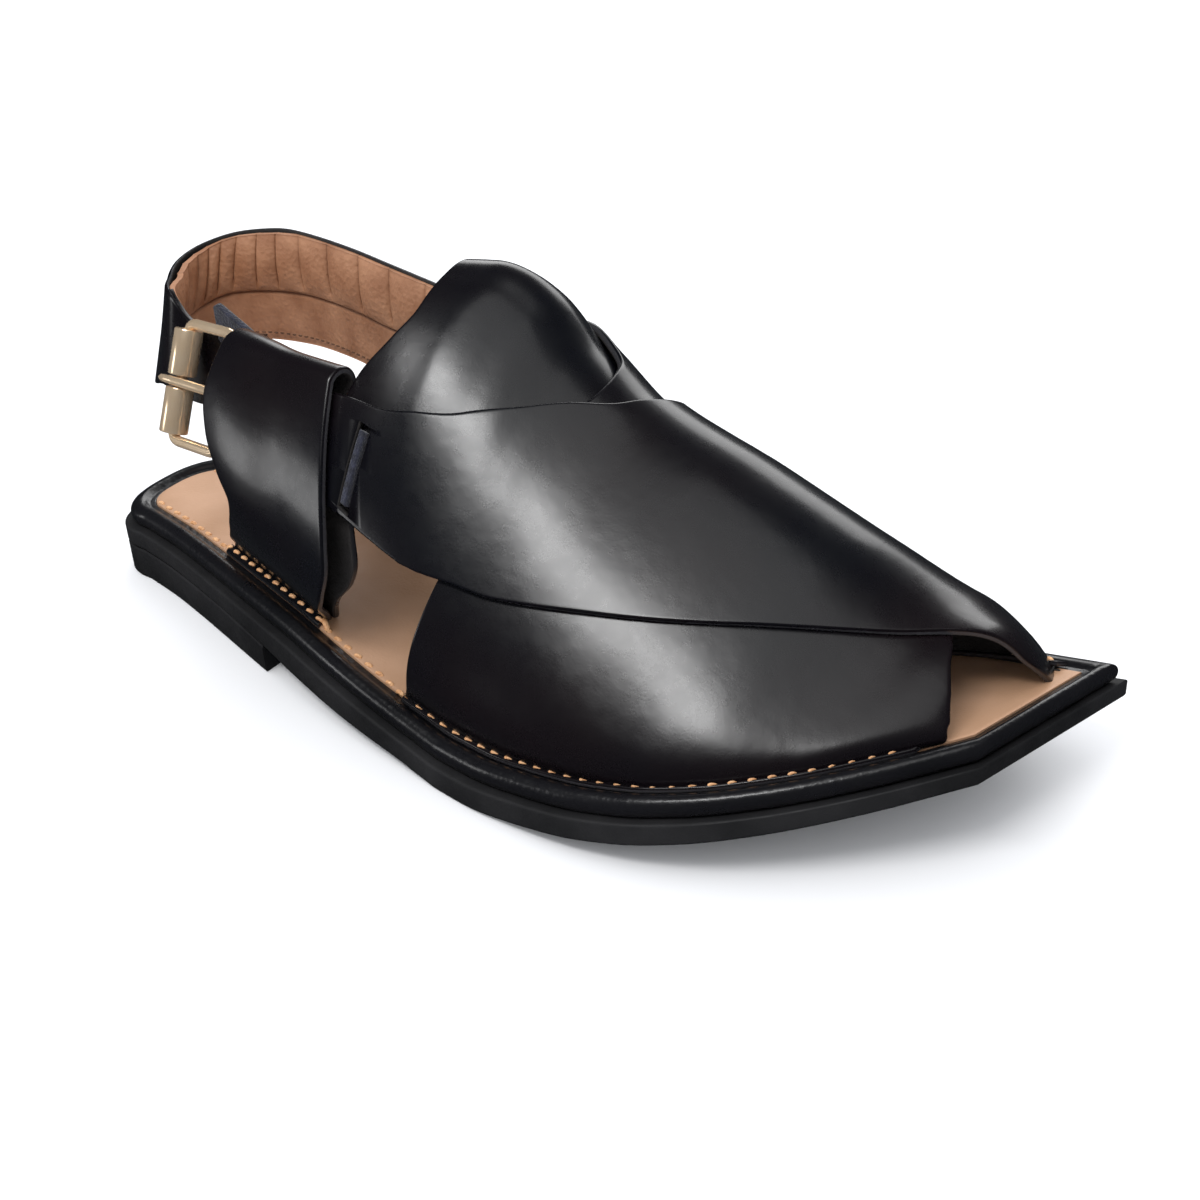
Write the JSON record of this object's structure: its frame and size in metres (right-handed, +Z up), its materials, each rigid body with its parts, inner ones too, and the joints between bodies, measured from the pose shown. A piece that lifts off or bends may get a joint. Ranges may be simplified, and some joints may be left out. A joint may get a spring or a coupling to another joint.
{
  "type": "peshawari chappal",
  "caption": "Right peshawari chappal with broad crossing leather straps, a rounded tongue, side loops, a buckled heel strap and a cut-toe sole with a raised rand.",
  "frame": {"origin": "on the floor, under the middle of the shoe's bounding box", "axes": "+X toe, +Y inner side, +Z up; the outer side with the buckle faces -Y"},
  "size_m": [0.2988, 0.1038, 0.1082],
  "materials": {
    "rubber": "matte charcoal with fine scuffs",
    "edge_leather": "black wrapped edge with a glossy lip",
    "tan_leather": "smooth vegetable-tanned, semi-matte",
    "black_leather": "polished near-black with fine grain and soft broad highlights",
    "buckle_metal": "polished pale gold plating"
  },
  "bodies": {
    "root": {"outsole": "rubber", "heel_block": "rubber", "midsole": "edge_leather", "insole": "tan_leather", "upper": "black_leather", "tongue": "black_leather", "outer_loop": "black_leather", "inner_loop": "black_leather", "heel_strap": "black_leather", "buckle_strap": "black_leather", "buckle_frame": "buckle_metal", "roller_low": "buckle_metal", "roller_high": "buckle_metal", "prong": "buckle_metal"}
  },
  "joints": []
}
